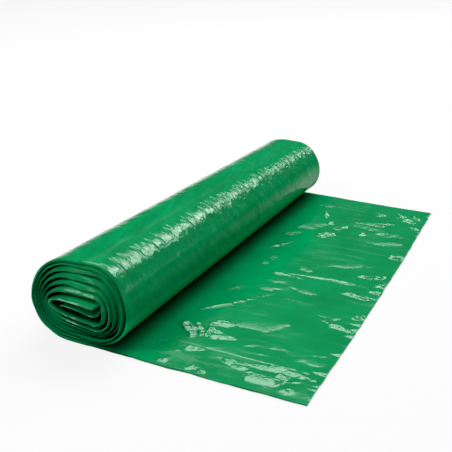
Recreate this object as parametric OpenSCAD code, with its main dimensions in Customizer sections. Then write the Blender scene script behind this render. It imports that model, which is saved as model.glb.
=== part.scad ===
// Roll of bin bags: one folded strip of plastic film, wound flat on itself
// without a core tube, with its outer end rolled out on the floor.
// The roll's axis lies along Y and the loose end runs towards +X. The origin
// is on the floor, under the middle of the roll.

/* [Film strip] */
// Width of the folded strip, which is also the length of the roll
web_w = 350; // [250:10:500]
// Thickness of the folded strip, with the air between its plies
web_t = 1.3; // [0.8:0.1:1.6]
// How far the side folds of the strip are rounded in from its edge
fold_inset = 0.5; // [0.2:0.1:1]

/* [First fold] */
// Width of the flat first fold at the middle of the roll
core_w = 33; // [26:1:45]
// Clear height inside the first fold
core_gap = 6.4; // [4:0.2:9]

/* [Winding] */
// Whole turns in the roll
turns = 7; // [4:1:9]
// Air between two turns above the first fold
gap_top = 3.3; // [2:0.1:4.5]
// Air between two turns below the first fold
gap_bottom = 1.9; // [1.2:0.1:3]
// Air between two turns on the left side
gap_left = 2.1; // [1.2:0.1:3]
// Air between two turns on the right side
gap_right = 1.6; // [1.2:0.1:3]
// Width of the flat spot that the roll stands on, at the near end
flat_near = 21; // [12:1:26]
// Width of the flat spot that the roll stands on, at the far end
flat_far = 14; // [10:1:30]
// How far the crown rises to the right at the near end
lean_near = 3; // [0:0.5:5]
// How far the crown rises to the right at the far end
lean_far = 2; // [0:0.5:5]
// Share of the air gaps that is left at the tighter far end
far_slack = 0.83; // [0.7:0.01:1]
// How far the turns stand out of line with each other at the ends
end_drift = 1.2; // [0:0.1:2.5]

/* [Loose end] */
// Length of the loose end along its near edge, from the middle of the roll
tail_near = 154; // [110:1:260]
// Length of the loose end along its far edge, from the middle of the roll
tail_far = 142; // [110:1:260]
// How far the cut bows out past a straight line from corner to corner
cut_bow = 2; // [0:0.5:6]
// How far the loose end slips sideways as it runs out
tail_slip = 1.5; // [0:0.5:5]

/* [Creases] */
// Height of the tallest crease in the loose end
crease_h = 2; // [0:0.1:3]
// Height of the puckers in the outer turn
pucker_h = 0.5; // [0:0.1:0.8]
// Distance from one pucker to the next, along the roll
pucker_pitch = 25; // [18:1:40]

/* [Mesh] */
// Steps along each straight run of a turn
run_steps = 4; // [3:1:6]
// Steps round each bend of a turn
bend_steps = 10; // [8:2:14]
// Steps along the loose end
tail_steps = 22; // [12:1:26]
// Steps across the strip where it is creased
web_steps = 44; // [24:2:48]

/* [Hidden] */

film_green = [0.0, 0.53, 0.3];

// Each turn has four legs: top run, left bend, bottom run, right bend.
legs = 4 * turns - 1;
v_end = turns - 0.5;
core_h = core_gap + web_t;
core_run = (core_w - core_h) / 2;

// Legs that make up the outer turn
wrap_legs = 4;

// Length of the longest crease and half width of the widest
crease_len = 110;
crease_w = 9;

// Main creases of the loose end. Each row gives the middle as shares of the
// length and width, then the direction in degrees, and the length, the half
// width and the height as shares of the longest, the widest and the tallest.
creases = [
    [0.62, 0.46, 4, 1.0, 0.7, 1.0],
    [0.35, 0.32, 52, 0.6, 0.8, 0.6],
    [0.34, 0.62, 60, 0.5, 0.8, 0.6],
    [0.75, 0.07, 2, 0.8, 1.0, 0.9],
    [0.38, 0.15, -8, 0.6, 1.0, 0.7],
    [0.85, 0.28, -18, 0.5, 0.8, 0.6],
    [0.78, 0.91, -4, 0.5, 1.0, 0.7],
    [0.45, 0.74, 8, 0.6, 0.8, 0.5],
    [0.90, 0.65, 20, 0.3, 0.8, 0.5],
    [0.92, 0.42, 14, 0.3, 0.7, 0.5],
];

function mix(a, b, share) = a + (b - a) * share;
function clamp01(s) = min(1, max(0, s));
function ease(s) = let (c = clamp01(s)) c * c * (3 - 2 * c);
function sum(list, i = 0) = i < len(list) ? list[i] + sum(list, i + 1) : 0;

// Stations along the strip, from the first fold outwards. Each is the leg's
// number, the share of that leg and, past the last leg, that of the loose end.
function steps_of(leg) = leg % 2 == 0 ? run_steps : bend_steps;
stations = [
    for (leg = [0 : legs - 1], i = [0 : steps_of(leg) - 1])
        [leg, i / steps_of(leg), 0],
    for (i = [0 : tail_steps])
        [legs - 1, 1, i / tail_steps]
];
last = len(stations) - 1;
tail_start = last - tail_steps;

// Turns wound so far at a station
function wound(s) = min((s[0] + s[1]) / 4, v_end);

// Reach of the strip's middle line from the centre of the first fold
function reach_top(v, slack) = core_h / 2 * slack + (web_t + gap_top * slack) * v;
function reach_bottom(v, slack) = core_h / 2 * slack + (web_t + gap_bottom * slack) * v;
function reach_left(v, slack) = core_w / 2 + (web_t + gap_left * slack) * v;
function reach_right(v, slack) = core_w / 2 + (web_t + gap_right * slack) * v;

// Middle line of the wound strip in section, round the first fold's centre
function wound_point(leg, share, slack, flat) =
    let (
        v = min((leg + share) / 4, v_end),
        c = mix(core_run, flat / 2, v / v_end),
        top = reach_top(v, slack),
        bottom = reach_bottom(v, slack),
        a = 90 + 180 * share
    )
    leg % 4 == 0 ? [mix(c, -c, share), top] :
    leg % 4 == 1 ? [(reach_left(v, slack) - c) * cos(a) - c, (a < 180 ? top : bottom) * sin(a)] :
    leg % 4 == 2 ? [mix(-c, c, share), -bottom] :
    [c - (reach_right(v, slack) - c) * cos(a), -(a < 180 ? bottom : top) * sin(a)];

// The crown leans over to the right, while the lower half stays level.
function leant(p, slack, lean) =
    let (
        high = reach_top(v_end, slack),
        wide = reach_right(v_end, slack)
    )
    [p[0], p[1] > 0 ? p[1] * (1 + lean * p[0] / (high * wide)) : p[1]];

function centre_height(slack) = reach_bottom(v_end, slack) + web_t / 2;

function line_point(s, slack, flat, lean, tail_len) =
    let (p = leant(wound_point(s[0], s[1], slack, flat), slack, lean))
    [mix(p[0], tail_len, s[2]), p[1] + centre_height(slack)];

// The strip's middle line along its near edge and along its far edge
near_line = [for (s = stations) line_point(s, 1, flat_near, lean_near, tail_near)];
far_line = [for (s = stations) line_point(s, far_slack, flat_far, lean_far, tail_far)];

// Unit normals in section, which point away from the first fold
function normal_of(line, i) =
    let (
        d = line[min(i + 1, last)] - line[max(i - 1, 0)],
        n = [d[1], -d[0]]
    )
    n / norm(n);
near_normal = [for (i = [0 : last]) normal_of(near_line, i)];
far_normal = [for (i = [0 : last]) normal_of(far_line, i)];

// The turns wander a little along the axis as the strip is wound, and the
// loose end slips to one side.
function drift(s) =
    let (v = wound(s))
    end_drift * sin(200 * v) * ease((v_end - v) / 1.5) - tail_slip * ease(s[2] / 0.7);

// Shallow puckers that run round the outer turn, on a slant
function pucker(s, y) =
    let (
        round_share = (s[0] - (legs - wrap_legs)) + s[1],
        fade = ease(round_share / 0.7) * ease((wrap_legs - 1 - round_share) / 0.7),
        slant = 30 * round_share,
        fine = sin(360 * y / pucker_pitch + slant),
        coarse = sin(360 * y / (2.7 * pucker_pitch) - 2 * slant)
    )
    pucker_h * fade * (fine * coarse + 1) / 2;

// Height of the creases over the loose end, at shares of its length and width
function crease(along, across) =
    let (
        x = along * tail_near,
        y = across * web_w,
        clear = ease((along - 0.12) / 0.15)
    )
    crease_h * clear * min(1, sum([
        for (c = creases)
            let (
                dx = x - c[0] * tail_near,
                dy = y - c[1] * web_w,
                run = (dx * cos(c[2]) + dy * sin(c[2])) / (c[3] * crease_len / 2),
                off = (dy * cos(c[2]) - dx * sin(c[2])) / (c[4] * crease_w)
            )
            abs(run) < 1 && abs(off) < 3 ? c[5] * (1 - run * run) * exp(-off * off) : 0
    ]));

// A point of the strip at station i and share g of its width. The lift is
// measured outwards from the middle line, or inwards where it is negative.
function web_point(i, g, lift) =
    let (
        inset = g == 0 ? fold_inset : g == 1 ? -fold_inset : 0,
        bow = 4 * cut_bow * g * (1 - g) * stations[i][2],
        p = mix(near_line[i], far_line[i], g) + mix(near_normal[i], far_normal[i], g) * lift
    )
    [p[0] + bow, drift(stations[i]) + (g - 0.5) * web_w + inset, p[1]];

function edge_point(i, g) =
    let (p = mix(near_line[i], far_line[i], g))
    [p[0], drift(stations[i]) + (g - 0.5) * web_w, p[1]];

// The outer side is fine on the outer turn, and the inner side on the loose
// end, up to its cut. Elsewhere a side has one step from edge to edge.
wrap_start = tail_start - wrap_legs / 2 * (run_steps + bend_steps);
function outer_steps(i) = i > wrap_start && i < tail_start || i == last ? web_steps : 1;
function inner_steps(i) = i > tail_start ? web_steps : 1;

outer_rows = [
    for (i = [0 : last])
        [for (j = [0 : outer_steps(i)])
            let (
                g = j / outer_steps(i),
                lift = outer_steps(i) > 1 ? pucker(stations[i], g * web_w) : 0
            )
            web_point(i, g, web_t / 2 + lift)]
];
inner_rows = [
    for (i = [0 : last])
        [for (j = [0 : inner_steps(i)])
            let (
                g = j / inner_steps(i),
                lift = inner_steps(i) > 1 ? crease(stations[i][2], g) : 0
            )
            web_point(i, g, -web_t / 2 - lift)]
];
near_edge = [for (i = [0 : last]) edge_point(i, 0)];
far_edge = [for (i = [0 : last]) edge_point(i, 1)];

// Place of each row's first point in the list of all points
function starts(rows, from) =
    [for (i = 0, n = from; i < len(rows); n = n + len(rows[i]), i = i + 1) n];
function count(rows) = sum([for (r = rows) len(r)]);
outer_at = starts(outer_rows, 0);
inner_at = starts(inner_rows, count(outer_rows));
near_at = count(outer_rows) + count(inner_rows);
far_at = near_at + last + 1;

// Triangles between two rows that have as many steps, or where one has one
function bridge(a, steps_a, b, steps_b) =
    steps_a == steps_b ?
        [for (j = [0 : steps_a - 1]) each [[a + j, a + j + 1, b + j + 1], [a + j, b + j + 1, b + j]]] :
    steps_a == 1 ?
        let (half = floor(steps_b / 2))
        [for (j = [0 : steps_b - 1]) [j < half ? a : a + 1, b + j + 1, b + j], [a, a + 1, b + half]] :
        let (half = floor(steps_a / 2))
        [for (j = [0 : steps_a - 1]) [a + j, a + j + 1, j < half ? b : b + 1], [a + half, b + 1, b]];

function turned(faces) = [for (f = faces) [f[0], f[2], f[1]]];

function strip_faces() = [
    for (i = [0 : last - 1]) each turned(bridge(outer_at[i], outer_steps(i), outer_at[i + 1], outer_steps(i + 1))),
    for (i = [0 : last - 1]) each bridge(inner_at[i], inner_steps(i), inner_at[i + 1], inner_steps(i + 1))
];

// The folds along both edges, with two narrow faces each
function fold_faces() = [
    for (i = [0 : last - 1])
        let (
            a = outer_at[i],
            b = outer_at[i + 1],
            c = inner_at[i],
            d = inner_at[i + 1],
            m = near_at + i,
            f = far_at + i
        )
        each [
            [a, m + 1, b], [a, m, m + 1], [m, d, m + 1], [m, c, d],
            [a + outer_steps(i), b + outer_steps(i + 1), f + 1], [a + outer_steps(i), f + 1, f],
            [f, f + 1, d + inner_steps(i + 1)], [f, d + inner_steps(i + 1), c + inner_steps(i)]
        ]
];

// The cut across the strip at station i
function cut_faces(i) = concat(
    bridge(inner_at[i], inner_steps(i), outer_at[i], outer_steps(i)),
    [
        [inner_at[i], outer_at[i], near_at + i],
        [inner_at[i] + inner_steps(i), far_at + i, outer_at[i] + outer_steps(i)]
    ]
);

module bag_roll() {
    color(film_green)
        polyhedron(
            points = concat([for (r = outer_rows) each r], [for (r = inner_rows) each r], near_edge, far_edge),
            faces = concat(strip_faces(), fold_faces(), turned(cut_faces(0)), cut_faces(last)),
            convexity = 2 * turns
        );
}

bag_roll();
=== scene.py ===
# Roll of bin bags in glossy green film, with its loose end laid out on a pale floor.
import math
from collections import namedtuple

import bpy
import numpy as np
from mathutils import Matrix, Vector


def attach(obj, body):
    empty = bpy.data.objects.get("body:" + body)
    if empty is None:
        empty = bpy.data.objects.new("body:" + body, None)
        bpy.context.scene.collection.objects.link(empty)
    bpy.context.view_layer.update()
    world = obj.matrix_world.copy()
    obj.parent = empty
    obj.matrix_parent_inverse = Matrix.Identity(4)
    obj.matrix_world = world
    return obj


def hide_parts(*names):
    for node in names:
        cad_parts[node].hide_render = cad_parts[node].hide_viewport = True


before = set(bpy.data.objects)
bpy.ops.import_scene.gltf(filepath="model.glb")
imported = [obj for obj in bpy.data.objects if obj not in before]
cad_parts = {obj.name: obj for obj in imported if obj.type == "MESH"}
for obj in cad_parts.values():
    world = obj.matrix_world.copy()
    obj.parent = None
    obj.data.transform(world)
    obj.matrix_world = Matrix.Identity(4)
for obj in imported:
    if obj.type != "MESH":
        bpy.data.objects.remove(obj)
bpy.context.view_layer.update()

MM = 0.001

# The wound strip has the sizes of the solid model, in millimetres.
WEB_W = 350.0
WEB_T = 1.3
CORE_W = 33.0
CORE_H = 7.7
TURNS = 7
GAP_TOP, GAP_BOTTOM, GAP_LEFT, GAP_RIGHT = 3.3, 1.9, 2.1, 1.6
CUT_BOW = 2.0
TAIL_SLIP = 1.5

# What differs between the two ends: the share of the air gaps, the flat spot,
# the rise of the crown to the right and the reach of the loose end.
Side = namedtuple("Side", "slack flat lean tail")
NEAR = Side(1.0, 21.0, 3.0, 154.0)
FAR = Side(0.83, 14.0, 2.0, 142.0)

# Each turn has four legs: top run, left bend, bottom run and right bend.
LEGS = 4 * TURNS - 1
V_END = TURNS - 0.5
CORE_RUN = 10.5

# The strip's middle is softened over these numbers of samples, at the first
# fold and at the outer turn
TIGHT_REACH, SLACK_REACH = 6, 22

# How much further out than in an even spiral the inner turns lie on each side,
# in millimetres by turns from the first fold
TOP_MORE = {0: -1.7, 1: 1, 2: 0.5, 3: 1.5, 4: 2.3, 5: 2.2, 6.1: 0}
LEFT_MORE = {0.25: 6, 1.25: 7, 2.25: 6.4, 3.25: 5, 4.25: 3.5, 5.25: 1.9, 6.1: 0}
BOTTOM_MORE = {0.5: 1.9, 1.5: 3, 2.5: 3, 3.5: 2.5, 4.5: 1.7, 5.5: 0.9, 6.1: 0}
RIGHT_MORE = {0.75: -2.8, 1.75: -1, 2.75: 0}

# Slope of the lower turns, which sag to the right, with the reach of the slope
# to both sides and the depth at which it is full
SAG = {0.5: 0.11, 1.5: 0.1, 2.5: 0.05, 3.5: 0}
SAG_REACH = 14
SAG_DEPTH = 5

# Where one mesh ends and the next begins, in legs from the first fold
OUTER_START = 22.5
OUTER_END = 26.0


def ease(share):
    """Smooth step from 0 to 1."""
    share = np.clip(share, 0, 1)
    return share * share * (3 - 2 * share)


def window(value, start, rise, stop, fall):
    """Share that rises from 0 at start to 1 over rise, and falls over fall to 0 at stop."""
    return ease((value - start) / rise) * ease((stop - value) / fall)


def value_at(place, table):
    """The table's value at a place, blended between its entries."""
    return np.interp(place, list(table), list(table.values()))


# Size of the random tables. Each use of noise and facets has its own seed.
TABLE_SIZE = 64


def cell_at(x, y, seed):
    """Random values from -1 to 1 at the corners of each place's cell, the cell and the place in it."""
    table = np.random.default_rng(seed).uniform(-1, 1, (TABLE_SIZE, TABLE_SIZE))
    x, y = np.broadcast_arrays(x, y)
    column, row = np.floor(x).astype(int), np.floor(y).astype(int)
    c0, c1, r0, r1 = (index % TABLE_SIZE for index in (column, column + 1, row, row + 1))
    corners = table[c0, r0], table[c1, r0], table[c0, r1], table[c1, r1]
    return *corners, column, row, x - column, y - row


def flat_ended(share):
    """Smooth step from 0 to 1 that has no curvature at its ends."""
    return share * share * share * (share * (share * 6 - 15) + 10)


def noise(x, y, seed):
    """Smooth random waves from -1 to 1, with a wavelength of about 2."""
    a, b, c, d, _, _, dx, dy = cell_at(x, y, seed)
    dx, dy = flat_ended(dx), flat_ended(dy)
    low = a * (1 - dx) + b * dx
    high = c * (1 - dx) + d * dx
    return low * (1 - dy) + high * dy


def facets(x, y, seed):
    """Random flat facets from -1 to 1 that meet in sharp folds, each about 1 across."""
    a, b, c, d, column, row, dx, dy = cell_at(x, y, seed)
    rising = np.where(dx > dy, a + dx * (b - a) + dy * (d - b), a + dy * (c - a) + dx * (d - c))
    low = a + dx * (b - a) + dy * (c - a)
    high = d + (1 - dx) * (c - d) + (1 - dy) * (b - d)
    falling = np.where(dx + dy < 1, low, high)
    return np.where((column * 7 + row * 5) % 3 == 0, rising, falling)


# The strip in section

def section(u, side):
    """Middle of the strip, x and z, at u legs from the first fold. Past LEGS it is the loose end."""
    def height(gap, turns):
        return CORE_H / 2 * side.slack + (WEB_T + gap * side.slack) * turns

    def width(gap, turns):
        return CORE_W / 2 + (WEB_T + gap * side.slack) * turns

    leg = np.minimum(np.floor(u), LEGS - 1)
    share = np.minimum(u - leg, 1)
    tail = np.clip(u - LEGS, 0, 1)
    v = np.minimum((leg + share) / 4, V_END)
    run = CORE_RUN + (side.flat / 2 - CORE_RUN) * v / V_END
    top = height(GAP_TOP, v) + value_at(v, TOP_MORE)
    bottom = height(GAP_BOTTOM, v) + value_at(v, BOTTOM_MORE)
    left = width(GAP_LEFT, v) + value_at(v, LEFT_MORE)
    right = width(GAP_RIGHT, v) + value_at(v, RIGHT_MORE)
    angle = math.pi / 2 + math.pi * share
    first_half = share < 0.5
    kinds = [leg % 4 == kind for kind in range(4)]
    x = np.select(kinds, [
        run * (1 - 2 * share),
        (left - run) * np.cos(angle) - run,
        run * (2 * share - 1),
        run - (right - run) * np.cos(angle),
    ])
    z = np.select(kinds, [
        top,
        np.where(first_half, top, bottom) * np.sin(angle),
        -bottom,
        -np.where(first_half, bottom, top) * np.sin(angle),
    ])
    crown_area = height(GAP_TOP, V_END) * width(GAP_RIGHT, V_END)
    z = np.where(z > 0, z * (1 + side.lean * x / crown_area), z)
    z = z - value_at(v, SAG) * np.clip(x, -SAG_REACH, SAG_REACH) * ease(-z / SAG_DEPTH)
    return x + (side.tail - x) * tail, z + height(GAP_BOTTOM, V_END) + WEB_T / 2


def smooth(values, reach):
    """Values softened over a few samples, with the ends left where they are."""
    steps = np.arange(-3 * reach, 3 * reach + 1)
    weights = np.exp(-0.5 * (steps / reach) ** 2)
    padded = np.pad(values, 3 * reach, mode="reflect", reflect_type="odd")
    return np.convolve(padded, weights / weights.sum(), mode="valid")


def with_normals(x, z):
    """Points of a line with their outward normals: x, z, normal x, normal z."""
    dx, dz = np.gradient(x), np.gradient(z)
    size = np.hypot(dx, dz)
    return np.stack([x, z, dz / size, -dx / size])


def strip_line(side, u_of_length):
    """The strip's middle at even lengths along it, with its normals."""
    slack_share = np.clip(u_of_length / LEGS, 0, 1) ** 2
    x, z = (
        smooth(row, TIGHT_REACH) * (1 - slack_share) + smooth(row, SLACK_REACH) * slack_share
        for row in section(u_of_length, side)
    )
    return with_normals(x, z)


# The strip's middle by legs, and then by even lengths in millimetres
LEG_SAMPLES = 12001
STRIP_STEP = 0.25
legs_fine = np.linspace(0, LEGS + 1, LEG_SAMPLES)
middle = (np.array(section(legs_fine, NEAR)) + np.array(section(legs_fine, FAR))) / 2
run_so_far = np.concatenate([[0], np.cumsum(np.hypot(*np.diff(middle)))])
length = np.arange(0, run_so_far[-1], STRIP_STEP)
length[-1] = run_so_far[-1]
legs_at = np.interp(length, run_so_far, legs_fine)
near_line = strip_line(NEAR, legs_at)
far_line = strip_line(FAR, legs_at)


def length_at(u):
    """Length along the strip at u legs."""
    return float(np.interp(u, legs_fine, run_so_far))


def legs_of(s):
    """Legs wound at length s."""
    return np.interp(s, length, legs_at)


def line_at(s, line):
    """Rows of a strip line at lengths s, each with x, z, normal x and normal z."""
    return np.stack([np.interp(s, length, row) for row in line], 1)


def from_edge(y):
    """Distance from the nearer of the strip's two folded edges."""
    return np.minimum(y, WEB_W - y)


def place(s, y, side_shift, lift):
    """Points at lengths s and widths y, moved by side_shift along the axis and by lift outwards."""
    share = (y / WEB_W)[None, :, None]
    at = line_at(s, near_line)[:, None] * (1 - share) + line_at(s, far_line)[:, None] * share
    tail = np.clip(legs_of(s) - LEGS, 0, 1)[:, None]
    bow = 4 * CUT_BOW * share[..., 0] * (1 - share[..., 0]) * tail
    x = at[..., 0] + at[..., 2] * lift + bow
    z = at[..., 1] + at[..., 3] * lift
    along = y[None, :] - WEB_W / 2 + side_shift - TAIL_SLIP * ease(tail / 0.7)
    return np.stack([x, np.broadcast_to(along, x.shape), z], -1)


# Folded edges

# Half of a folded edge, from the middle of the plies out to the flat of the
# strip: the share of the fold's half height, then the distance in from the
# edge in millimetres, for a square fold and for one that comes to a crest.
FOLD = [
    (0, 0, 0), (0.07, 0, 0.15), (0.16, 0.02, 0.5), (0.27, 0.06, 0.95),
    (0.4, 0.04, 1.5), (0.54, 0, 2.1), (0.67, 0.02, 2.7), (0.79, 0.1, 3.3),
    (0.89, 0.28, 3.9), (0.96, 0.6, 4.4), (1, 1, 5), (1, 2, 5.6),
    (1, 3.4, 6.4), (1, 5.2, 7.4), (1, 8, 9), (1, 13, 13),
]
FOLD_LIFT, FOLD_IN, CREST_IN = (np.array(column) for column in zip(*FOLD))

# The next four tables go by turns from the first fold outwards. FILL is the
# share of its half of the room between two turns that the folded edge fills.
FILL = {
    0: 0.5, 0.5: 0.6, 0.9: 0.6, 1.02: 0.85, 1.2: 0.9, 1.32: 0.5, 1.9: 0.5, 2.02: 0.85, 2.2: 0.9, 2.32: 0.5,
    2.9: 0.5, 3.02: 0.85, 3.2: 0.95, 3.32: 0.5, 3.9: 0.47, 4.02: 0.85, 4.2: 0.9, 4.32: 0.5,
    4.9: 0.47, 5.02: 0.85, 5.2: 0.9, 5.32: 0.5, 5.9: 0.47, 6.02: 0.75, 6.2: 0.8, 6.3: 0.6, 6.5: 0.8,
}

# The folded edge's largest half thickness, in millimetres
MOST_HALF = {0: 1.15, 0.6: 1.1, 1: 2.2, 5.6: 2.6, 6: 1, 6.3: 0.8, 6.6: 0.65}

# From 0 for a square fold to 1 for a crest
CREST = {
    0: 0.35, 0.6: 0.35, 0.9: 0.5, 1.25: 0.2, 1.5: 0.3, 2: 0.5, 2.25: 0.2, 2.5: 0.5, 3: 0.55, 3.25: 0.2,
    3.5: 0.5, 4: 0.45, 4.25: 0.2, 4.5: 0.4, 5: 0.55, 5.25: 0.2, 5.8: 0.4, 6.1: 0.1, 6.5: 0,
}

# How far the near edge stands out along the axis, in millimetres. The far edge
# stands out by FAR_OUT of it.
EDGE_OUT = {
    0: 2.2, 0.5: 2.4, 1: 0, 1.25: -0.6, 1.5: 0.8, 1.75: 0.6, 2: 0.2, 2.25: -1.8, 2.5: -0.4, 2.75: -0.5,
    3: 1, 3.25: -1.5, 3.5: -1, 3.75: -2, 4: -0.4, 4.25: -1, 4.5: -0.6, 4.75: 0.6,
    5: 0.9, 5.25: -0.3, 5.5: -0.5, 5.75: -1.4, 6: 0.3, 6.25: 0.3, 6.5: 0.1,
}
FAR_OUT = 0.25

# Sizes of the folded edges in millimetres: half the thickness of the flat
# strip, a little less than the solid model's, the least half thickness of a
# fold, where its swelling starts to fall off and over what width, the length of
# the strip's pointed start, and how far in the ragged plies and the wobble reach
FLAT_HALF = WEB_T * 0.42
LEAST_HALF = 0.5
SWELL_START, SWELL_REACH = 1.5, 11
POINTED_START = 1.2
RAGGED_REACH = 6
WOBBLE_REACH = 14

# Room outside the last turn and inside the first, in millimetres
OPEN_ROOM = 4.0

# Distance in the random waves between the strip's faces, and between its edges
FACE_APART = 2.4
EDGE_APART = 40.0

# Painted shading between the plies by the share of a turn: the top run from 0, the
# left bend from 0.25, the bottom run from 0.5 and the right bend from 0.75
PAINTED_SHADE = {0: 0, 0.2: 0, 0.3: 0.7, 0.37: 1, 0.6: 1, 0.7: 0.85, 0.8: 0.6, 0.93: 0.45, 1: 0}

# Painted light on the film that recedes between the plies, in the same form
PAINTED_LIGHT = {0: 1, 0.22: 1, 0.32: 0, 0.9: 0, 1: 1}

# How far the dull part of the loose end reaches from the roll's centre line, by
# distance from the near edge, in millimetres
DULL_TO = {0: 42, 60: 48, 110: 66, 230: 66, 290: 48, 350: 44}

# The slack ply inside the first fold: its line, x and z, the widths of its
# columns, half its thickness, and how far it lies towards the near end and in
# from both edges, in millimetres
PLY_LINE = [
    (-15, 24.4), (-9, 24.3), (-4, 23.6), (0, 22.8), (4, 22.0), (8, 21.4),
    (11, 21.9), (13, 23.6), (13.6, 25.8),
]
PLY_WIDTHS = [0, 0.1, 0.4, 1.0, 3, 8, 20, 60, 120, 180, 240, 300, 335, 346, 349, 349.6, 349.9, 350]
PLY_HALF = 0.3
PLY_DRIFT = 1.5
PLY_INSET = 1.2
PLY_ROWS = 60


def across(step):
    """Widths from edge to edge, with a fold at both edges and a step apart between them."""
    inner = WEB_W - 2 * FOLD_IN[-1]
    count = max(int(inner / step), 1)
    between = FOLD_IN[-1] + inner * np.arange(1, count) / count
    return np.concatenate([FOLD_IN, between, (WEB_W - FOLD_IN)[::-1]])


def room(s, face):
    """Distance from each turn's middle to the next one outwards, or inwards for face -1."""
    u = legs_of(s)
    here = np.array(section(u, NEAR))
    there = np.array(section(np.clip(u + 4 * face, 0, LEGS), NEAR))
    found = np.hypot(*(here - there))
    return np.where((u + 4 * face > LEGS) | (u + 4 * face < 0), OPEN_ROOM, found)


def by_fold(y, near, between, far):
    """Values by width: rows for the folds at the near and far edges, and one value between them."""
    values = np.full(len(y), between)
    values[: len(FOLD)] = near
    values[-len(FOLD):] = far
    return values


def fold_lift(y):
    """Share of the half thickness at the widths y, which falls to 0 round both folded edges."""
    return by_fold(y, FOLD_LIFT, 1.0, FOLD_LIFT[::-1])


def ragged_plies(s, plies, seed):
    """How far the edges of the plies stand out of line, in millimetres."""
    turn = 0.5 * noise(s / 12, 0.5, seed)
    return turn + 0.45 * noise(s / 16, plies, seed + 1) + 0.15 * noise(s / 4, plies, seed + 2)


def edge_shift(s, y, face):
    """How far the strip stands along the axis: each turn's own place, its crest and its ragged plies."""
    turns = legs_of(s)[:, None] / 4
    s = s[:, None]
    plies = face * fold_lift(y)[None, :] * FACE_APART
    crest = by_fold(y, CREST_IN - FOLD_IN, 0.0, (FOLD_IN - CREST_IN)[::-1])
    near = ragged_plies(s, plies, 11) * np.exp(-(y / RAGGED_REACH) ** 2)
    far = ragged_plies(s, plies, 14) * np.exp(-((WEB_W - y) / RAGGED_REACH) ** 2)
    out = value_at(turns, EDGE_OUT) * (1 - (1 + FAR_OUT) * ease(y / WEB_W)[None, :])
    return value_at(turns, CREST) * crest[None, :] - out + (near + far)


def half_thickness(s, y, face):
    """Half the strip's thickness, swollen where it is folded along both edges."""
    turns = legs_of(s) / 4
    fold = np.minimum(value_at(turns, FILL) * room(s, face) / 2, value_at(turns, MOST_HALF))
    fold = np.maximum(fold, LEAST_HALF)[:, None] * (1 + 0.1 * noise(s[:, None] / 12, face, 17))
    swelling = 1 - ease((from_edge(y)[None, :] - SWELL_START) / SWELL_REACH)
    start = np.sqrt(np.clip(s / POINTED_START, 0.02, 1))[:, None]
    return (FLAT_HALF + (fold - FLAT_HALF) * swelling) * fold_lift(y)[None, :] * start


def wobble(s, y):
    """How far the strip's middle wanders out of its wound line near the two ends."""
    s = s[:, None]
    edge = np.where(y > WEB_W / 2, EDGE_APART, 0.0)[None, :]
    wave = 0.25 * noise(s / 10 + edge, 0.5, 18) + 0.08 * noise(s / 4 + edge, 0.5, 19)
    return wave * np.exp(-from_edge(y)[None, :] / WOBBLE_REACH)


# Relief of the outer turn

# Bands round the outer turn by the way the film faces, in degrees up from the
# right: the middle, the half width at full strength and the reach of the fade
Band = namedtuple("Band", "middle half fade")
SHOULDER = Band(57, 12, 12)
PILLOWED = Band(40, 25, 22)
LOW_SIDE = Band(12, 14, 8)
TOP_SIDE = Band(90, 22, 10)
BRIGHT_BAND = Band(52, 12, 10)
HAZY_SIDE = Band(12, 12, 6)

# Windows round the outer turn in the same degrees: where each starts, over what
# it rises, where it stops and over what it falls
UNDERSIDE = -75, 15, -8, 14
RIGHT_SIDE = -34, 14, 42, 12
DULL_SHOULDER = 30, 8, 70, 6
CROWN = 66, 10, 150, 20
RIM = 96, 8, 150, 25
LEFT_SIDE = 114, 18, 235, 20

# Where along the roll the shoulder is most creased: the middle, from the near
# edge, and the reach
CREASED_MIDDLE, CREASED_REACH = 165, 45

# A sharp ridge between two places: the reach of its near and far sides, its
# tilt, the place of its peak from -1 to 1 and its bow
Tent = namedtuple("Tent", "x0 y0 x1 y1 near far tilt peak bend", defaults=(1, 0, 0))

# Streaks that run out of the roll's bright band: x is the distance round the
# roll from the middle of its shoulder up to its top
STREAKS = [
    Tent(2, 4, 13, 6, 2.5, 1.5),
    Tent(3, 43, 10, 46, 2, 2, 0.9),
    Tent(2, 63, 8, 66, 2.5, 1.5, 0.9),
    Tent(1, 86, 12, 87, 2, 2),
    Tent(0, 142, 14, 139.5, 2.5, 2, 1.1),
    Tent(13, 143, 3, 158, 2, 3),
    Tent(9, 160, 2, 181, 2.5, 3),
    Tent(-7, 181, 1, 188, 2, 2, 1.1),
    Tent(-2, 191, 12, 195.5, 2.5, 2, 1.1),
    Tent(-2, 229.5, 11, 233.5, 2.5, 2),
    Tent(8, 246, 3, 262, 1.8, 2.5, 0.9),
    Tent(-2, 294, 9, 301, 2.5, 2, 0.9),
]
STREAK_SLOPE = 0.2

# Places of the grooves across the roll's bright band, from the near edge, and
# the pitches of these at the near end and of the slanted ones
GROOVES = [
    -2, 8.2, 18.8, 27.5, 42.5, 60, 70, 84.5, 98, 111, 119, 136, 150, 160, 168, 177, 191, 200, 208, 215,
    231, 243, 250, 256, 268, 281, 286, 293, 303, 315, 321, 328, 340, 352,
]
GROOVE_PITCH = 9.5
SLANT_PITCH = 12


def along_ridge(x, y, tent):
    """Place along a ridge from -1 to 1, distance past it, and the place's share of the peak."""
    half = math.hypot(tent.x1 - tent.x0, tent.y1 - tent.y0) / 2
    ux, uy = (tent.x1 - tent.x0) / half / 2, (tent.y1 - tent.y0) / half / 2
    dx, dy = x - (tent.x0 + tent.x1) / 2, y - (tent.y0 + tent.y1) / 2
    run = (dx * ux + dy * uy) / half
    off = dy * ux - dx * uy - tent.bend * (1 - np.minimum(run * run, 1))
    return run, off, np.minimum(np.minimum((1 + run) / (1 + tent.peak), (1 - run) / (1 - tent.peak)), 1)


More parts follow.
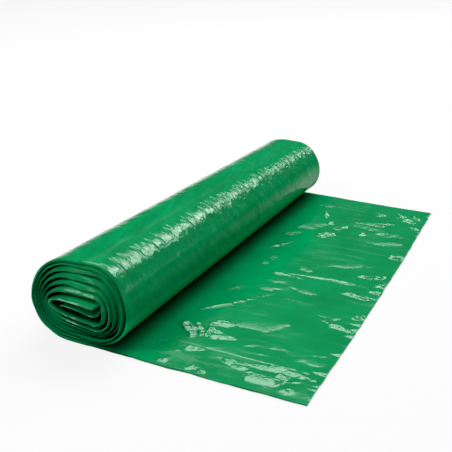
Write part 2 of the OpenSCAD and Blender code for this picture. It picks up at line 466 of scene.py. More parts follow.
def tent_height(x, y, tent, slope):
    """Height of one sharp ridge with two flat sides."""
    _, off, share = along_ridge(x, y, tent)
    top = tent.near * slope
    return top * share - np.where(off < 0, -off * slope, off * top / tent.far)


def in_band(facing, band):
    """Share of a band round the roll, which is 1 inside it and fades out beside it."""
    return np.exp(-(np.maximum(np.abs(facing - band.middle) - band.half, 0) / band.fade) ** 2)


def groove(count, pitch, half):
    """Share of a narrow groove at each whole count, with its half width in millimetres."""
    return np.exp(-(np.abs((count + 0.5) % 1 - 0.5) * pitch / half) ** 1.5)


def shoulder_folds(a, y, count, creased):
    """Height of the grooves in the bright band, both those round the roll and the slanted ones."""
    deep = ease(0.95 - 0.4 * y / WEB_W + 0.6 * noise(y / 9, a / 22, 26))
    height = -0.5 * deep * groove(count, GROOVE_PITCH / (1 + 0.7 * y / WEB_W), 0.8)
    for slope, seed in ((0.75, 27), (-0.65, 28)):
        line = (y + slope * a) / SLANT_PITCH + 0.5 * noise(y / 15, a / 15, seed)
        share = 0.05 + 0.35 * creased + 1.2 * noise(y / 8, a / 11, seed + 3)
        height = height - (0.22 + 0.25 * creased) * ease(share) * groove(line, SLANT_PITCH, 0.75)
    return height


def lumps(a, y, facing, left_side):
    """Height of the rounded unevenness of the outer turn, which is finer on some sides."""
    height = 0.1 * noise(y / 48, a / 40, 33) + 0.05 * noise(y / 19, a / 26, 34)
    low = 0.09 * noise(y / 5.5 + a / 9, a / 6, 35) + 0.04 * noise(y / 2.4, a / 3, 36)
    top = 0.07 * noise(y / 8 + a / 12, a / 10, 37) + 0.03 * noise(y / 3.2, a / 5, 38)
    left = 0.2 * noise(y / 9 + a / 10, a / 8, 77) + 0.08 * noise(y / 4 - a / 9, a / 5, 78)
    return height + in_band(facing, LOW_SIDE) * low + in_band(facing, TOP_SIDE) * top + left_side * left


def outer_relief(s, y):
    """Height of the wrinkles over the outer turn."""
    near = line_at(s, near_line)
    facing = np.degrees(np.unwrap(np.arctan2(near[:, 3], near[:, 2])))[:, None]
    up = s[:, None] - np.interp(SHOULDER.middle, facing[:, 0], s)
    a = (s - s[0])[:, None]
    y = y[None, :]
    left_side = window(facing, *LEFT_SIDE)
    creased = np.exp(-((y - CREASED_MIDDLE) / CREASED_REACH) ** 2)
    leaning = y + 1.2 * noise(y / 17, a / 15, 21) + 0.06 * a
    count = np.interp(leaning, GROOVES, np.arange(len(GROOVES)))
    folds = in_band(facing, SHOULDER) * shoulder_folds(a, y, count, creased)
    pillows = (0.42 - 0.2 * y / WEB_W) * facets(count, a / 11 + 0.3 * noise(y / 11, a / 15, 22), 23)
    fine = 0.03 + 0.04 * creased
    small = fine * facets(count * 2.3 + 0.4, a / 4.5 + 0.5 * noise(y / 7, a / 9, 24), 25)
    pillowed = 0.4 + 0.6 * in_band(facing, PILLOWED) + 0.35 * left_side
    streaks = np.zeros(np.broadcast(up, y).shape)
    for streak in STREAKS:
        streaks = np.maximum(streaks, tent_height(up, y, streak, streak.tilt * STREAK_SLOPE))
    height = folds + pillowed * (pillows + small) + lumps(a, y, facing, left_side) + streaks
    return height * ease(from_edge(y) / 4 + 0.3)


# Relief of the loose end

# Sharp creases, measured from the roll's centre line and from the near edge. The
# tilt is that of the near side, as a share of the one that shines most.
TENTS = [
    Tent(133, 16, 147, 23.5, 2.2, 1.5),
    Tent(47, 29.5, 75, 29.5, 2.4, 1.5, 1, 0.5),
    Tent(39, 24, 46, 28, 3.5, 2, 0.9),
    Tent(37, 7, 44, 10, 4, 1.5),
    Tent(38, 45, 50, 47.5, 2, 2),
    Tent(35, 67, 66, 102, 4.2, 5, 1, 0.6),
    Tent(54, 88, 88, 134, 4.5, 8, 0.8, -0.5),
    Tent(63, 162.5, 98, 158, 4.6, 2, 1, -0.7),
    Tent(48, 158.5, 150, 166.8, 2.8, 3.2, 1, -0.1, 4),
    Tent(116, 106, 140, 100, 3, 3, 0.95, 0.6),
    Tent(40, 201, 60, 234, 3.6, 5, 1, -0.3, -1),
    Tent(132, 303, 144, 302, 5, 3, 0.85, 0.2),
    Tent(133, 343, 143, 342, 6, 2, 0.85, 0.3),
    Tent(119, 4, 152, 10, 2.8, 2, 0.85, 0.2),
    Tent(93, 39, 123, 41.5, 1.8, 3, 0.85),
    Tent(123, 46, 151, 59, 2, 3, 0.9, 0.5),
]

# Rounded and duller creases, in the same form
SOFT_CREASES = [
    Tent(72, 71, 113, 86, 11, 9),
    Tent(68, 145, 86, 147.5, 6, 5, 1, 0.2),
    Tent(86, 141, 113, 136, 7, 6, 0.95),
    Tent(119, 110, 142, 110, 3, 4),
    Tent(49, 173, 57, 177, 6, 6, 0.9),
    Tent(50, 186, 59, 191, 6, 6, 0.9),
    Tent(79, 182, 92, 179, 7, 4, 1, 0.2),
    Tent(86, 182, 136, 209, 6, 9, 0.85, 0.1),
    Tent(42, 234, 55, 250, 6, 6),
    Tent(42, 259, 67, 277, 10, 8, 0.95),
    Tent(80, 289, 141, 274, 7.5, 5, 1, 0.1),
    Tent(84, 289, 121, 305, 7.5, 5),
    Tent(93, 326, 108, 323, 7, 4),
    Tent(125, 43, 152, 46, 5, 4, 0.9, 0.6),
    Tent(88, 39, 120, 57, 3, 5, 0.8),
    Tent(110, 255, 140, 262, 7, 5, 0.9),
    Tent(60, 128, 84, 136, 5, 6, 0.8),
    Tent(44, 112, 62, 128, 5, 6, 0.8),
    Tent(44, 318, 60, 326, 6, 6, 0.85),
]

# Flat parts of the film that shine: their corners, the distance between the
# little steps that cut them up and their tilt as for the creases
Facet = namedtuple("Facet", "corners step tilt", defaults=(8, 1))
FACETS = [
    Facet([(84, 26), (97, 18), (98, 25.5), (95, 27)], 9),
    Facet([(97, 18), (107, 17), (108, 27.5), (98, 26)], 5.5),
    Facet([(107, 15.5), (117, 8), (121, 7.5), (134, 15.5), (128, 19.5), (108, 19)], 9),
    Facet([(107, 24.5), (108, 27.5), (129, 30), (134, 28.5), (127, 23)]),
    Facet([(126, 18), (134, 15.5), (135, 23), (127, 24)], 9, 0.95),
    Facet([(127, 24), (135, 23), (134, 29), (129, 30)]),
    Facet([(134, 24), (131, 30), (152, 25.5), (146, 23)]),
    Facet([(42, 54), (45, 60), (55, 54), (61, 42), (57, 38), (49, 47)], 9),
    Facet([(50, 61), (55, 61), (64, 50), (64, 43), (61, 44), (55, 54)], 9, 1.05),
    Facet([(68, 42), (69, 57), (62, 59), (64, 50)], 9),
    Facet([(69, 42), (80, 46.5), (87, 50), (80, 53), (69, 57)], 7, 0.95),
    Facet([(60.5, 60), (61, 67), (66, 70.5), (77, 72), (76, 63)], 7),
    Facet([(57, 285), (56, 300), (50, 311), (55, 310), (62, 298), (61, 288)], 9, 0.85),
    Facet([(111, 330), (115, 334.5), (118, 333), (128, 322), (122, 319)]),
    Facet([(122, 319), (128, 323), (137, 316), (131, 313)], 8, 0.95),
    Facet([(126, 333), (128, 335), (138, 325), (136, 322)]),
    Facet([(49, 5), (58, 10.5), (60, 9), (60, 5)]),
    Facet([(72, 4), (75, 9.5), (79, 11), (84, 8), (92, 4)]),
    Facet([(61, 24), (66, 23.5), (75, 30), (62, 30)]),
    Facet([(133, 95), (134, 101), (141, 100), (152, 94.5), (143, 92.5)]),
    Facet([(122, 149), (132, 154), (149, 150.5), (149, 147), (134, 145.5)], 7, 0.82),
    Facet([(140, 159.5), (141, 163), (151, 162), (151, 158.5)]),
    Facet([(141, 172), (142, 175), (151, 177.5), (151, 172)]),
    Facet([(126, 181), (128, 186), (145, 192), (145, 187), (135, 182)], 7, 0.82),
    Facet([(135, 227), (137, 234), (147, 236), (147, 229), (140, 225)]),
    Facet([(142, 112), (143, 116), (150, 123), (151, 119), (147, 112)]),
    Facet([(67, 246), (69, 256), (80, 263), (83, 255), (74, 245)], 8, 0.85),
    Facet([(74, 268), (77, 275), (86, 281), (85, 275)], 8, 0.95),
    Facet([(65, 276), (66, 281), (72, 285), (72, 278)], 8, 0.9),
    Facet([(111, 273), (112, 277), (119, 277), (118, 273.5)]),
    Facet([(99, 264), (100, 270.5), (105, 271), (104, 264)]),
    Facet([(105, 291), (106, 294), (114, 298), (113, 294)]),
]

# Narrow valleys that cut the flat parts up: the middle, the direction in
# degrees, then length, half width, height and bow
Crease = namedtuple("Crease", "x y turn length half height curve", defaults=(0,))
VALLEYS = [
    Crease(95, 31, 0, 120, 0.8, -0.3, -1),
    Crease(98.5, 23, -50, 12, 0.6, -0.35),
    Crease(106, 23.5, -55, 12, 0.6, -0.35),
    Crease(131, 22, -70, 14, 0.6, -0.3),
    Crease(117, 14, -35, 14, 0.5, -0.2),
    Crease(51, 52, -45, 16, 0.7, -0.45),
    Crease(64, 52, -62, 22, 0.8, -0.5),
    Crease(72, 51, -62, 16, 0.6, -0.35),
    Crease(78, 51, -62, 12, 0.6, -0.35),
    Crease(68, 66, -62, 12, 0.6, -0.35),
    Crease(73, 67, -62, 10, 0.6, -0.3),
    Crease(118, 163, 2, 50, 1.6, -0.3, 1),
    Crease(78, 210, 97, 60, 1.2, 0.22),
    Crease(124, 326, -40, 24, 0.7, -0.4),
    Crease(133, 328, -40, 18, 0.7, -0.35),
]

# Slope of the film that shines most, and how much more it is at the far edge
SHINE_NEAR = 0.14
SHINE_MORE = 0.23

# Slope of the narrow sides round a flat part, and the flat parts' sideways slope:
# at the near edge by the roll, and its growth with each millimetre past that
# place and over the strip's width
FACET_EDGE = 2.2
SIDEWAYS_FROM = 50
SIDEWAYS_START, SIDEWAYS_BY_X, SIDEWAYS_BY_WIDTH = -0.13, 0.0015, 0.17

# How far the outlines of the rounded and of the sharp creases are stirred
SOFT_STIR = 4.0
SHARP_STIR = 1.2

# The crimps along the cut and the depth at which all valleys stop, in
# millimetres, and the number of faint creases
CRIMP_HEIGHT = 0.55
CRIMP_REACH = 6
LOWEST = -0.25
FAINT_COUNT = 110


def shine_slope(y):
    """Slope of the film that shines most, at the distance y from the near edge."""
    return SHINE_NEAR + SHINE_MORE * y / WEB_W


def facet_height(x, y, facet):
    """Height of one flat tilted part, cut up by little steps."""
    corners = np.array(facet.corners, float)
    after = np.roll(corners, -1, axis=0)
    if np.sum(corners[:, 0] * after[:, 1] - after[:, 0] * corners[:, 1]) < 0:
        corners = corners[::-1]
    inside = np.full(np.broadcast(x, y).shape, np.inf)
    for a, b in zip(corners, np.roll(corners, -1, axis=0)):
        edge = (b - a) / np.hypot(*(b - a))
        inside = np.minimum(inside, (y - a[1]) * edge[0] - (x - a[0]) * edge[1])
    mx, my = corners.mean(axis=0)
    slope = facet.tilt * shine_slope(my)
    sideways = SIDEWAYS_BY_X * (mx - SIDEWAYS_FROM) + SIDEWAYS_START + SIDEWAYS_BY_WIDTH * my / WEB_W
    run = y + x * sideways / slope
    run = run - np.min(corners[:, 1] + corners[:, 0] * sideways / slope)
    run = np.maximum(run + 0.8 * noise(x / 8, y / 8, 56) * ease(run / 3), 0) % facet.step
    ripple = 0.09 * noise(x / 2.6, y / 2.6, 58) * ease(run / 2)
    return np.minimum(np.minimum(slope * run + ripple, facet.step - run), FACET_EDGE * inside)


def crease_height(x, y, crease):
    """Height of one soft crease over the film."""
    turn = math.radians(crease.turn)
    dx, dy = x - crease.x, y - crease.y
    run = (dx * math.cos(turn) + dy * math.sin(turn)) / (crease.length / 2)
    off = (dy * math.cos(turn) - dx * math.sin(turn) - crease.curve * run * run) / crease.half
    along = np.clip(1 - run * run, 0, 1)
    return crease.height * along * np.exp(-np.abs(off) ** 1.5)


def stirred(x, y, reach):
    """Places moved about by up to reach millimetres, so that no crease has a straight outline."""
    wide, fine = 0.75 * reach, 0.3 * reach
    stirred_x = x + wide * noise(x / 11, y / 9, 71) + fine * noise(x / 3.5, y / 3, 72)
    return stirred_x, y + wide * noise(x / 11, y / 9, 73) + fine * noise(x / 3.5, y / 3, 74)


def faint_creases(count, seed):
    """Faint creases that fan out from the roll over the whole loose end."""
    rng = np.random.default_rng(seed)
    for _ in range(count):
        x, y = rng.uniform(30, 150), rng.uniform(4, 346)
        turn, length_mm = rng.normal() * 28, rng.uniform(18, 70)
        half, height = rng.uniform(1.1, 2.8), rng.uniform(0.03, 0.24)
        yield Crease(x, y, turn, length_mm, half, height, rng.normal() * 3)


def soft_height(x, y):
    """Height of the rounded creases over the loose end."""
    height = np.zeros(np.broadcast(x, y).shape)
    ripple = 0.1 * noise(x / 4.5, y / 2.2, 75) + 0.05 * noise(x / 2.2, y / 1.6, 76)
    x, y = stirred(x, y, SOFT_STIR)
    for tent in SOFT_CREASES:
        slope = tent.tilt * shine_slope((tent.y0 + tent.y1) / 2)
        run, off, _ = along_ridge(x, y, tent)
        fade = np.clip(1 - run * run, 0, 1)
        side = np.where(off < 0, off / tent.near, off / tent.far) / (0.2 + 0.8 * fade)
        across_it = ease(1 - np.abs(side))
        height += slope * tent.near * 0.55 * fade * across_it + ripple * fade * np.sqrt(across_it)
    return height


def ridges(x, y):
    """Height of the sharp creases over the loose end."""
    x, y = stirred(x, y, SHARP_STIR)
    height = np.zeros(np.broadcast(x, y).shape)
    for tent in TENTS:
        slope = tent.tilt * shine_slope((tent.y0 + tent.y1) / 2)
        height = np.maximum(height, tent_height(x, y, tent, slope))
    for facet in FACETS:
        height = np.maximum(height, facet_height(x, y, facet))
    return height


def faint_streaks(x, y):
    """Share of haze in the faint streaks that run out over the loose end."""
    line = y + 14 * noise(x / 55, y / 70, 63)
    wide = ease((noise(x / 22, line / 2.8, 64) - 0.1) / 0.6)
    narrow = ease((noise(x / 14, line / 1.3, 65) - 0.2) / 0.5)
    return (wide + 0.6 * narrow) * ease(0.35 + noise(x / 26, y / 24, 66))


def tail_relief(x, y, from_cut):
    """Height of all creases over the loose end. from_cut is the distance to the cut."""
    height = np.maximum(ridges(x, y), soft_height(x, y))
    for crease in VALLEYS + list(faint_creases(FAINT_COUNT, 51)):
        height += crease_height(x, y, crease)
    swell = 0.3 * (1 + noise(x / 36, y / 44, 52)) + 0.05 * noise(x / 13, y / 16, 53)
    height += swell * ease(from_edge(y) / 16)
    crimp = 0.5 + noise(x / 30, y / 4.5, 54) + 0.4 * noise(x / 20, y / 1.8, 55)
    crimp = np.maximum(crimp * ease(0.5 + noise(0.5, y / 16, 57)), 0)
    height += crimp * CRIMP_HEIGHT * np.exp(-from_cut / CRIMP_REACH)
    return np.maximum(height, LOWEST)


# Meshes

# Angle in degrees from which two faces meet in a sharp edge
SHARP_FOLD = 55

# Rows of vertices along each part of the strip, and the steps in millimetres
# between the columns of each side
WOUND_ROWS, WOUND_STEP = 760, 54
OUTER_ROWS, OUTER_STEP, OUTER_INNER_STEP = 132, 0.55, 20
TAIL_ROWS, TAIL_STEP, TAIL_UNDER_STEP = 185, 0.9, 3.0

# Lengths of the first rows, where the strip comes to a point
FIRST_ROWS = [0, 0.1, 0.3, 0.6, 0.9]
WOUND_START = 1.4

# The point from which the outer turn's facing is told
MIDDLE_X, MIDDLE_Z = 9.0, 29.0

# The least height of the outer turn over the floor, in millimetres
CLEARANCE = 0.02


def zipper(outer, inner, y_outer, y_inner):
    """Triangles between two rows of vertices that share their first and last ones."""
    outer, inner = outer.tolist(), inner.tolist()
    j = k = 0
    while j < len(outer) - 1 or k < len(inner) - 1:
        if k == len(inner) - 1 or (j < len(outer) - 1 and y_outer[j + 1] <= y_inner[k + 1]):
            face = (outer[j], outer[j + 1], inner[k])
            j += 1
        else:
            face = (outer[j], inner[k + 1], inner[k])
            k += 1
        if len(set(face)) == 3:
            yield face


def quads(index):
    """Faces of a grid of vertices, whose rows run along the strip and columns along the axis."""
    corners = index[:-1, :-1], index[:-1, 1:], index[1:, 1:], index[1:, :-1]
    return np.stack(corners, -1).reshape(-1, 4)


def film_piece(name, outer, inner, y_outer, y_inner):
    """A closed strip of film from the points of its two sides, whose edges they share."""
    rows = len(outer)
    outer_index = np.arange(rows * len(y_outer)).reshape(rows, -1)
    inner_index = np.zeros((rows, len(y_inner)), int)
    inner_index[:, 0], inner_index[:, -1] = outer_index[:, 0], outer_index[:, -1]
    inside = rows * (len(y_inner) - 2)
    inner_index[:, 1:-1] = outer_index.size + np.arange(inside).reshape(rows, -1)
    points = np.concatenate([outer.reshape(-1, 3), inner[:, 1:-1].reshape(-1, 3)]) * MM
    start = [face[::-1] for face in zipper(outer_index[0], inner_index[0], y_outer, y_inner)]
    end = list(zipper(outer_index[-1], inner_index[-1], y_outer, y_inner))
    faces = quads(outer_index).tolist() + quads(inner_index)[:, ::-1].tolist() + start + end
    mesh = bpy.data.meshes.new(name)
    mesh.from_pydata(points.tolist(), [], faces)
    mesh.shade_smooth()
    mesh.set_sharp_from_angle(angle=math.radians(SHARP_FOLD))
    piece = bpy.data.objects.new(name, mesh)
    bpy.context.scene.collection.objects.link(piece)
    return piece


def set_share(piece, name, values):
    """Stores a share from 0 to 1 at each vertex: how dull, crumpled or hazy the film is, and how much
    painted shading and painted light it has.
    """
    layer = piece.data.attributes.new(name, "FLOAT", "POINT")
    layer.data.foreach_set("value", np.clip(values, 0, 1).astype(np.float32))


def vertices(piece):
    """The piece's vertices, in millimetres."""
    points = np.zeros(len(piece.data.vertices) * 3)
    piece.data.vertices.foreach_get("co", points)
    return points.reshape(-1, 3) / MM


def end_dullness(piece):
    """The lost gloss of the folds that face along the axis, where light goes in between the plies."""
    normals = np.zeros(len(piece.data.vertices) * 3)
    piece.data.vertices.foreach_get("normal", normals)
    end_on = np.abs(normals.reshape(-1, 3)[:, 1])
    x, along, z = vertices(piece).T
    core = ease(2.2 - np.hypot(x / 19, (z - 25) / 9) * 1.2)
    at_end = np.abs(along) > WEB_W / 2 - 8
    return np.where(at_end, (0.9 - 0.7 * core) * ease((end_on - 0.45) / 0.3), 0)


def from_crest(s, y, table):
    """A share by the part of the turn, as in the table, that grows from the crests of the folds inwards."""
    depth = 0.45 * fold_lift(y) ** 2 + 0.55 * ease(from_edge(y) / 1.6)
    return value_at(legs_of(s) / 4 % 1, table)[:, None] * depth[None, :]


def wound_turns():
    """All the turns inside the outer one, which show at the two ends of the roll."""
    s = np.concatenate([FIRST_ROWS, np.linspace(WOUND_START, length_at(OUTER_START), WOUND_ROWS)])
    y = across(WOUND_STEP)
    outer = place(s, y, edge_shift(s, y, 1), wobble(s, y) + half_thickness(s, y, 1))
    inner = place(s, y, edge_shift(s, y, -1), wobble(s, y) - half_thickness(s, y, -1))
    piece = film_piece("wound_turns", outer, inner, y, y)
    set_share(piece, "dull", end_dullness(piece))
    # Painted shading and painted light in the gaps between the plies, by the tables above
    for name, table in (("painted_shade", PAINTED_SHADE), ("painted_light", PAINTED_LIGHT)):
        share = from_crest(s, y, table)
        set_share(piece, name, np.concatenate([share.ravel(), share[:, 1:-1].ravel()]))
    return piece


def loose_ply():
    """One slack ply of film in the hollow of the first fold."""
    knots = np.array(PLY_LINE)
    run = np.linspace(0, len(knots) - 1, PLY_ROWS)
    x, z = (smooth(np.interp(run, np.arange(len(knots)), column), 3) for column in knots.T)
    x, z, normal_x, normal_z = with_normals(x, z)[..., None]
    y = np.array(PLY_WIDTHS)
    columns = np.arange(len(y))
    lift = PLY_HALF * np.interp(np.minimum(columns, columns[::-1]), [0, 1, 2], [0, 0.6, 1])
    inset = 0.7 * noise(run / 7, 0.5, 81)[:, None] + PLY_INSET

    def side(sign):
        rise = sign * lift
        points = np.zeros((len(run), len(y), 3))
        points[..., 0] = x - normal_x * rise
        points[..., 1] = y - WEB_W / 2 + np.where(y < WEB_W / 2, inset, -inset) - PLY_DRIFT
        points[..., 2] = z - normal_z * rise
        return points

    return film_piece("loose_ply", side(-1), side(1), y, y)


def set_outer_looks(piece):
    """Where the outer turn is duller, more crumpled or hazier, and where painted shading darkens it and
    painted light brightens it.
    """
    x, along, z = vertices(piece).T
    share = along / WEB_W + 0.5
    facing = np.degrees(np.arctan2(z - MIDDLE_Z, x - MIDDLE_X))
    to_far = ease((share - 0.3) / 0.6)

    # Gloss, with a faint stripe low on the right side
    low = 1 - ease((facing - 27) / 8)
    stripe = (0.15 + 0.12 * to_far) * np.exp(-((facing - 10 + 17 * to_far) / (6 + 8 * to_far)) ** 2)
    shoulder = 0.55 * ease((share - 0.2) / 0.6) * window(facing, *DULL_SHOULDER)
    above = np.interp(share, [0, 0.5, 1], [0.5, 0.65, 0.9]) * window(facing, 65 - 9 * share, 5, 98, 10)
    right_side = np.maximum(low - stripe, np.maximum(shoulder, above))
    dull = np.maximum(np.where(x > 0, right_side, low), 0.9 * window(facing, *RIM))
    set_share(piece, "dull", np.maximum(end_dullness(piece), dull))

    # Painted shading and painted light: streaks of fine wrinkles on the top, and a lit underside, right
    # side and far end
    on_top = window(facing, *CROWN)
    # A noise mask for the painted wrinkle streaks on the top, with no creases in the mesh under it
    creased = noise((along + 200) / 7 - facing / 6, facing / 9, 69)
    creased = 0.8 * (creased + 0.7 * noise(along / 3 - facing / 7, facing / 4, 70))
    set_share(piece, "painted_shade", 0.16 * ease(creased) * on_top)
    # Painted light on the underside, where little lamp light falls
    under = 0.45 * window(facing, *UNDERSIDE)
    painted_lit_side = 0.16 * np.exp(-((facing - 34) / 11) ** 2) * (1 - 0.6 * to_far)
    painted_far_light = 0.3 * to_far * np.exp(-((facing + 4) / 14) ** 2)
    painted_streaks = noise((along + 200) / 4 + facing / 11, facing / 9, 67)
    painted_streaks = 0.7 * (painted_streaks + 0.6 * noise(along / 2 - facing / 14, facing / 5, 68))
    painted_streaks = 0.17 * ease(0.45 + painted_streaks) * window(facing, *RIGHT_SIDE)
    painted_light = np.where(x > 0, under + painted_lit_side + painted_far_light + painted_streaks, 0)
    set_share(piece, "painted_light", painted_light + 0.12 * ease(-creased) * on_top)

    # Fine wrinkles and haze
    band = in_band(facing, BRIGHT_BAND)
    set_share(piece, "crumple", 0.1 + band * (0.2 + 0.35 * share) + 0.15 * ease((facing - 114) / 18))
    mottled = 0.7 * (0.6 + 0.6 * noise((along + 200) / 14, facing / 6, 39)) * (1 - 0.6 * share)
    mottled = mottled * np.exp(-((facing - 97) / 7) ** 2)
    set_share(piece, "haze", 0.5 * in_band(facing, HAZY_SIDE) + mottled)


def outer_turn():
    """The outer turn, with its wrinkles."""
    s = np.linspace(length_at(OUTER_START), length_at(OUTER_END), OUTER_ROWS)
    y, y_inner = across(OUTER_STEP), across(OUTER_INNER_STEP)
    free = window(legs_of(s), OUTER_START + 0.5, 0.5, OUTER_END, 0.5)[:, None]
    relief = outer_relief(s, y) * free * np.clip(from_edge(y) / 2, 0, 1)
    outer = place(s, y, edge_shift(s, y, 1), wobble(s, y) + half_thickness(s, y, 1) + relief)
    outer[..., 2] = np.maximum(outer[..., 2], CLEARANCE)
    inner_lift = wobble(s, y_inner) - half_thickness(s, y_inner, -1)
    inner = place(s, y_inner, edge_shift(s, y_inner, -1), inner_lift)
    piece = film_piece("outer_turn", outer, inner, y, y_inner)
    set_outer_looks(piece)
    return piece


def tail_side(s, y, sign):
    """Points of one side of the loose end: the upper side for sign -1 and the lower one for sign 1."""
    points = place(s, y, edge_shift(s, y, sign), sign * half_thickness(s, y, sign))
    x, from_near = points[..., 0], points[..., 1] + WEB_W / 2 + TAIL_SLIP
    reach = NEAR.tail + (FAR.tail - NEAR.tail) * y[None, :] / WEB_W
    from_cut = np.maximum(reach - x, 0)
    d = from_edge(y)[None, :]
    relief = tail_relief(x, from_near, from_cut) * ease((x - 24) / 22)
    if sign > 0:
        relief = 0.75 * relief * np.exp(-(from_cut / 9) ** 2)
    points[..., 2] += relief * (0.25 + 0.75 * ease(d / 3)) * np.clip(d, 0, 1)
    ragged = 0.35 * noise(from_near / 9, 0.5, 61) + 0.15 * noise(from_near / 2.5, 0.5, 62)
    points[..., 0] += ragged * np.exp(-from_cut / 4)
    return points


def set_tail_looks(piece):
    """Where the loose end is duller, more crumpled or hazier, and the painted shadow of the roll on it."""
    x, along, _ = vertices(piece).T
    from_near = along + WEB_W / 2 + TAIL_SLIP
    raised = ease(ridges(x, from_near) / 0.4)
    soft = ease(soft_height(x, from_near) / 0.5) * (1 - raised)
    dull_to = value_at(from_near, DULL_TO)
    shining = np.maximum(raised, 0.6 * soft) * ease((x - 30) / 10)
    by_roll = (1 - ease((x - dull_to) / 18)) * (1 - shining)
    near_edge = 0.9 * (1 - ease((from_near - 1.5) / 1.5))
    set_share(piece, "dull", np.maximum(np.maximum(by_roll, near_edge), 0.5 * soft))
    set_share(piece, "crumple", 0.06 + 0.45 * np.maximum(raised, 0.8 * soft))
    set_share(piece, "haze", 0.55 * np.maximum(soft, faint_streaks(x, from_near) * (1 - raised)))
    # Painted shadow of the roll, darkest from just under it to just beside it
    set_share(piece, "painted_shade", 0.7 * (1 - ease((x - 22) / 18)) * ease((x + 2) / 18))


def loose_end():
    """The loose end on the floor, from under the roll to the cut."""
    s = np.linspace(length_at(OUTER_END), length[-1], TAIL_ROWS)
    y, y_under = across(TAIL_STEP), across(TAIL_UNDER_STEP)
    under = tail_side(s, y_under, 1)
    upper = tail_side(s, y, -1)
    piece = film_piece("loose_end", under, upper, y_under, y)
    set_tail_looks(piece)
    return piece


# Materials

# Colours of the film: the two that its clouds go between, and those that it
# goes towards for painted shading and for painted light
DEEP_GREEN = (0, 0.265, 0.08, 1)
GREEN = (0, 0.31, 0.102, 1)
PAINTED_SHADE_GREEN = (0, 0.035, 0.01, 1)
PAINTED_LIGHT_GREEN = (0.01, 0.6, 0.22, 1)

# Gloss and roughness of the film, and how much rougher it is where it is hazy
GLOSS = 0.5
SMOOTHEST, ROUGHEST = 0.10, 0.18
HAZE_ROUGHNESS = 0.3

# Cells to a metre of the two layers of little facets, their slope, and how far
# in metres their outlines are stirred
FACET_SCALES = (120.0, 270.0)
FACET_SLOPE = 0.08
FACET_STIR = 0.012

# Share of the floor's light that the camera and reflections see as plain white
WHITE_SHARE = 0.83


def node(tree, kind, **inputs):
    """A new node of one kind, with some of its inputs set."""
    made = tree.nodes.new(kind)
    for name, value in inputs.items():
        made.inputs[name].default_value = value
    return made


def stored_share(tree, name):
    """Socket with one of the shares that set_share stores."""
    made = tree.nodes.new("ShaderNodeAttribute")
    made.attribute_name = name
    return made.outputs["Fac"]


def mapped(tree, share, at_0, at_1):
    """Socket with a value that goes from at_0 to at_1 with a share."""
    made = node(tree, "ShaderNodeMapRange")
    made.inputs["To Min"].default_value = at_0
    made.inputs["To Max"].default_value = at_1
    tree.links.new(share, made.inputs["Value"])
    return made.outputs["Result"]


def blend(tree, share, colour, towards):
    """Socket with a colour that goes towards another one with a share."""
    made = node(tree, "ShaderNodeMixRGB", Color2=towards)
    tree.links.new(share, made.inputs["Fac"])
    tree.links.new(colour, made.inputs["Color1"])
    return made.outputs["Color"]


def reckon(tree, operation, *values):
    """Socket with the result of one math node. The values are sockets or numbers."""
    made = tree.nodes.new("ShaderNodeMath")
    made.operation = operation
    for socket, value in zip(made.inputs, values):
        if isinstance(value, float):
            socket.default_value = value
        else:
            tree.links.new(value, socket)
    return made.outputs[0]


def film_material():
    """Glossy green polythene, with flat little facets, slight changes of colour and gloss, and painted
    shading and painted light.
    """
    material = bpy.data.materials.new("green_film")
    material.use_nodes = True
    tree = material.node_tree
    link = tree.links.new
    shader = tree.nodes["Principled BSDF"]
    shader.inputs["IOR"].default_value = 1.48
    shader.inputs["Specular Tint"].default_value = (0.7, 1.0, 0.85, 1)
    spot = tree.nodes.new("ShaderNodeTexCoord").outputs["Object"]

    cloud = node(tree, "ShaderNodeTexNoise", Scale=28.0, Detail=3.0, Roughness=0.55)
    link(spot, cloud.inputs["Vector"])
    tint = tree.nodes.new("ShaderNodeValToRGB")
    for stop, position, colour in zip(tint.color_ramp.elements, (0.35, 0.65), (DEEP_GREEN, GREEN)):
        stop.position = position
        stop.color = colour
    link(cloud.outputs["Fac"], tint.inputs["Fac"])
    # Painted shading and painted light from the stored shares
    colour = blend(tree, stored_share(tree, "painted_shade"), tint.outputs["Color"], PAINTED_SHADE_GREEN)
    colour = blend(tree, stored_share(tree, "painted_light"), colour, PAINTED_LIGHT_GREEN)
    link(colour, shader.inputs["Base Color"])

    link(mapped(tree, stored_share(tree, "dull"), GLOSS, 0.0), shader.inputs["Specular IOR Level"])
    rough = mapped(tree, cloud.outputs["Fac"], SMOOTHEST, ROUGHEST)
    rough = reckon(tree, "MULTIPLY_ADD", stored_share(tree, "haze"), HAZE_ROUGHNESS, rough)
    link(rough, shader.inputs["Roughness"])

    warp = node(tree, "ShaderNodeTexNoise", Scale=90.0, Detail=2.0, Roughness=0.5)
    link(spot, warp.inputs["Vector"])
    shift = tree.nodes.new("ShaderNodeVectorMath")
    shift.operation = "MULTIPLY_ADD"
    shift.inputs[1].default_value = [FACET_STIR] * 3
    link(warp.outputs["Color"], shift.inputs[0])
    link(spot, shift.inputs[2])
    crumple = stored_share(tree, "crumple")
    normal = None
    for scale in FACET_SCALES:
        cells = node(tree, "ShaderNodeTexVoronoi", Scale=scale)
        cells.distance = "MANHATTAN"
        link(shift.outputs[0], cells.inputs["Vector"])
        bump = node(tree, "ShaderNodeBump", Distance=FACET_SLOPE / scale)
        link(cells.outputs["Distance"], bump.inputs["Height"])
        link(crumple, bump.inputs["Strength"])
        if normal is not None:
            link(normal, bump.inputs["Normal"])
        normal = bump.outputs["Normal"]
    link(normal, shader.inputs["Normal"])
    return material


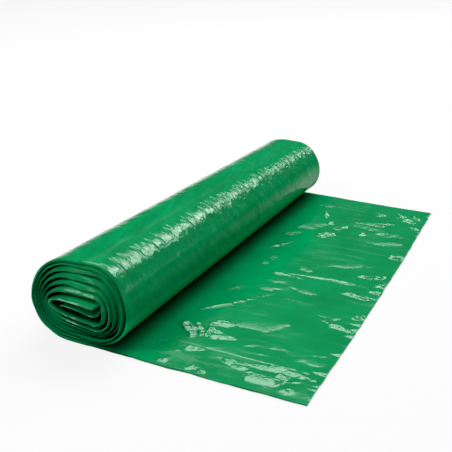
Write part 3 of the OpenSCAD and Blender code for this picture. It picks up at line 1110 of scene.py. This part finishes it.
def floor_material():
    """Pale floor that the camera and reflections see as white, with the shadows kept."""
    material = bpy.data.materials.new("pale_floor")
    material.use_nodes = True
    tree = material.node_tree
    tree.nodes.clear()
    output = tree.nodes.new("ShaderNodeOutputMaterial")
    matt = node(tree, "ShaderNodeBsdfDiffuse", Color=(0.82, 0.82, 0.82, 1))
    glow = node(tree, "ShaderNodeEmission", Color=(1, 1, 1, 1), Strength=1.0)
    rays = tree.nodes.new("ShaderNodeLightPath").outputs
    seen = reckon(tree, "MAXIMUM", rays["Is Camera Ray"], rays["Is Glossy Ray"])
    seen = reckon(tree, "MAXIMUM", seen, rays["Is Transmission Ray"])
    mixed = tree.nodes.new("ShaderNodeMixShader")
    tree.links.new(reckon(tree, "MULTIPLY", seen, WHITE_SHARE), mixed.inputs["Fac"])
    tree.links.new(matt.outputs[0], mixed.inputs[1])
    tree.links.new(glow.outputs[0], mixed.inputs[2])
    tree.links.new(mixed.outputs[0], output.inputs["Surface"])
    return material


# Stage, lights and camera

# Half the floor's width, and how far it lies below the object, in metres
FLOOR_HALF = 60.0
FLOOR_DROP = 0.0001

# Softboxes in metres, which face LAMP_AIM and are turned by tilt degrees
Lamp = namedtuple("Lamp", "name place width height radiance tilt", defaults=(0,))
LAMP_AIM = Vector((0.03, 0.0, 0.03))
LAMPS = [
    Lamp("overhead", (0.15, 0.1, 1.55), 1.6, 1.4, 0.96),
    Lamp("key_back", (-0.52, 1.08, 1.556), 1.5, 0.62, 6.6),
    Lamp("back_high", (0.7, 2, 1.63), 1.65, 0.75, 6.5, -20),
    Lamp("back_low", (0.33, 2, 0.98), 0.55, 0.55, 2.2, -20),
    Lamp("front_left", (-0.95, -1.05, 1.45), 0.7, 0.7, 9),
    Lamp("front_right", (0.45, -1.35, 1.2), 0.7, 0.7, 2.4),
]
WORLD_GREY = 0.05


def add_floor():
    """A wide floor just under the object."""
    half = FLOOR_HALF
    corners = [(-half, -half), (half, -half), (half, half), (-half, half)]
    mesh = bpy.data.meshes.new("floor")
    mesh.from_pydata([(x, y, -FLOOR_DROP) for x, y in corners], [], [(0, 1, 2, 3)])
    floor = bpy.data.objects.new("floor", mesh)
    bpy.context.scene.collection.objects.link(floor)
    floor.data.materials.append(floor_material())


def add_softbox(lamp):
    """A rectangular area light, as bright at any size as its radiance says."""
    light = bpy.data.lights.new(lamp.name, "AREA")
    light.shape = "RECTANGLE"
    light.size, light.size_y = lamp.width, lamp.height
    light.energy = lamp.radiance * math.pi * lamp.width * lamp.height
    box = bpy.data.objects.new(lamp.name, light)
    back = (Vector(lamp.place) - LAMP_AIM).normalized()
    turn = back.to_track_quat("Z", "Y").to_matrix().to_4x4()
    tilt = Matrix.Rotation(math.radians(lamp.tilt), 4, "Z")
    box.matrix_world = Matrix.Translation(lamp.place) @ turn @ tilt
    box.visible_camera = False
    bpy.context.scene.collection.objects.link(box)


def add_lights():
    """The softboxes and a dim grey world."""
    for lamp in LAMPS:
        add_softbox(lamp)
    world = bpy.data.worlds.new("studio")
    bpy.context.scene.world = world
    world.use_nodes = True
    background = world.node_tree.nodes["Background"]
    background.inputs["Color"].default_value = (WORLD_GREY, WORLD_GREY, WORLD_GREY, 1)
    background.inputs["Strength"].default_value = 1.0


def add_camera():
    """The photo's view. The azimuth, elevation and roll are in degrees, and the place is in millimetres."""
    azimuth, elevation, roll = 25.608, 21.058, 0.887
    place_mm = Vector((291.2, -572.2, 269.2))
    data = bpy.data.cameras.new("photo_view")
    data.sensor_width, data.lens = 36.0, 68.16
    data.clip_start, data.clip_end = 0.01, 100.0
    camera = bpy.data.objects.new("photo_view", data)
    turn = (
        Matrix.Rotation(math.radians(azimuth), 4, "Z")
        @ Matrix.Rotation(math.radians(90 - elevation), 4, "X")
        @ Matrix.Rotation(math.radians(roll), 4, "Z")
    )
    camera.matrix_world = Matrix.Translation(place_mm * MM) @ turn
    bpy.context.scene.collection.objects.link(camera)
    bpy.context.scene.camera = camera


film = film_material()
for piece in (wound_turns(), loose_ply(), outer_turn(), loose_end()):
    piece.data.materials.append(film)
    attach(piece, "root")
    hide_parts("bag_roll")

add_floor()
add_lights()
add_camera()
bpy.context.scene.view_settings.view_transform = "Standard"
